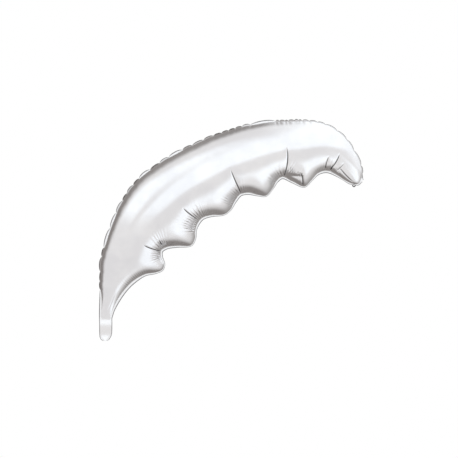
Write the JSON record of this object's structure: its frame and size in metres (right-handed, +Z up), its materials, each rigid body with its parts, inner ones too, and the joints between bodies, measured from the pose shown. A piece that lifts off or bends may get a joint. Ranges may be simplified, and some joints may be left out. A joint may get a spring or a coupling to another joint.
{
  "type": "palm leaf foil balloon",
  "caption": "Silver film balloon shaped like a curved palm leaf with scalloped leaflets on its inner side, a pointed tip and a flat filling tail.",
  "frame": {"origin": "the mouth of the neck, where the balloon is held, in the plane of the sealed rim", "axes": "+Z up along the neck, +X towards the tip of the leaf, +Y out of the back sheet; the rim lies in the plane Y = 0"},
  "size_m": [0.7426, 0.1428, 0.621],
  "materials": {
    "front_foil": "mirror-bright silver metallised film, slightly soft, with fine creases",
    "back_foil": "mirror-bright silver metallised film, slightly soft, with fine creases",
    "rim_seal": "heat-sealed film, dull silver with a fine embossed line",
    "valve_film": "thin milky polyethylene film"
  },
  "bodies": {
    "root": {"front_foil_sheet": "front_foil", "back_foil_sheet": "back_foil", "rim_heat_seal": "rim_seal", "valve_front_strip": "valve_film", "valve_back_strip": "valve_film"}
  },
  "joints": []
}
